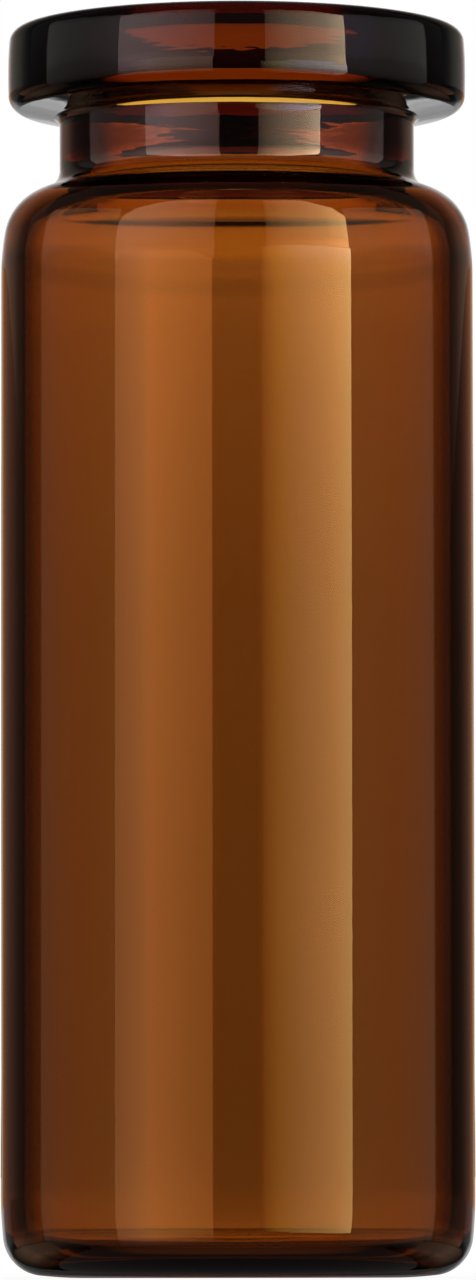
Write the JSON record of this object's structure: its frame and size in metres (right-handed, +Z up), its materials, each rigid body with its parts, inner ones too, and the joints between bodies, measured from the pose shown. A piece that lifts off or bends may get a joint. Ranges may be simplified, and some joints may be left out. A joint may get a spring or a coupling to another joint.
{
  "type": "glass sample vial",
  "caption": "Open amber glass sample vial with a straight body, flat-footed base, rounded shoulder, short neck and a thick flange that a crimp cap grips over a stopper.",
  "frame": {"origin": "middle of the base, on the surface that the vial stands on", "axes": "+Z up the vial's own axis, from the base to the mouth; X and Y lie across it, and any turn about Z gives the same shape"},
  "size_m": [0.0206, 0.0206, 0.0545],
  "materials": {
    "amber_glass": "gloss"
  },
  "bodies": {
    "root": {"vial": "amber_glass"}
  },
  "joints": []
}
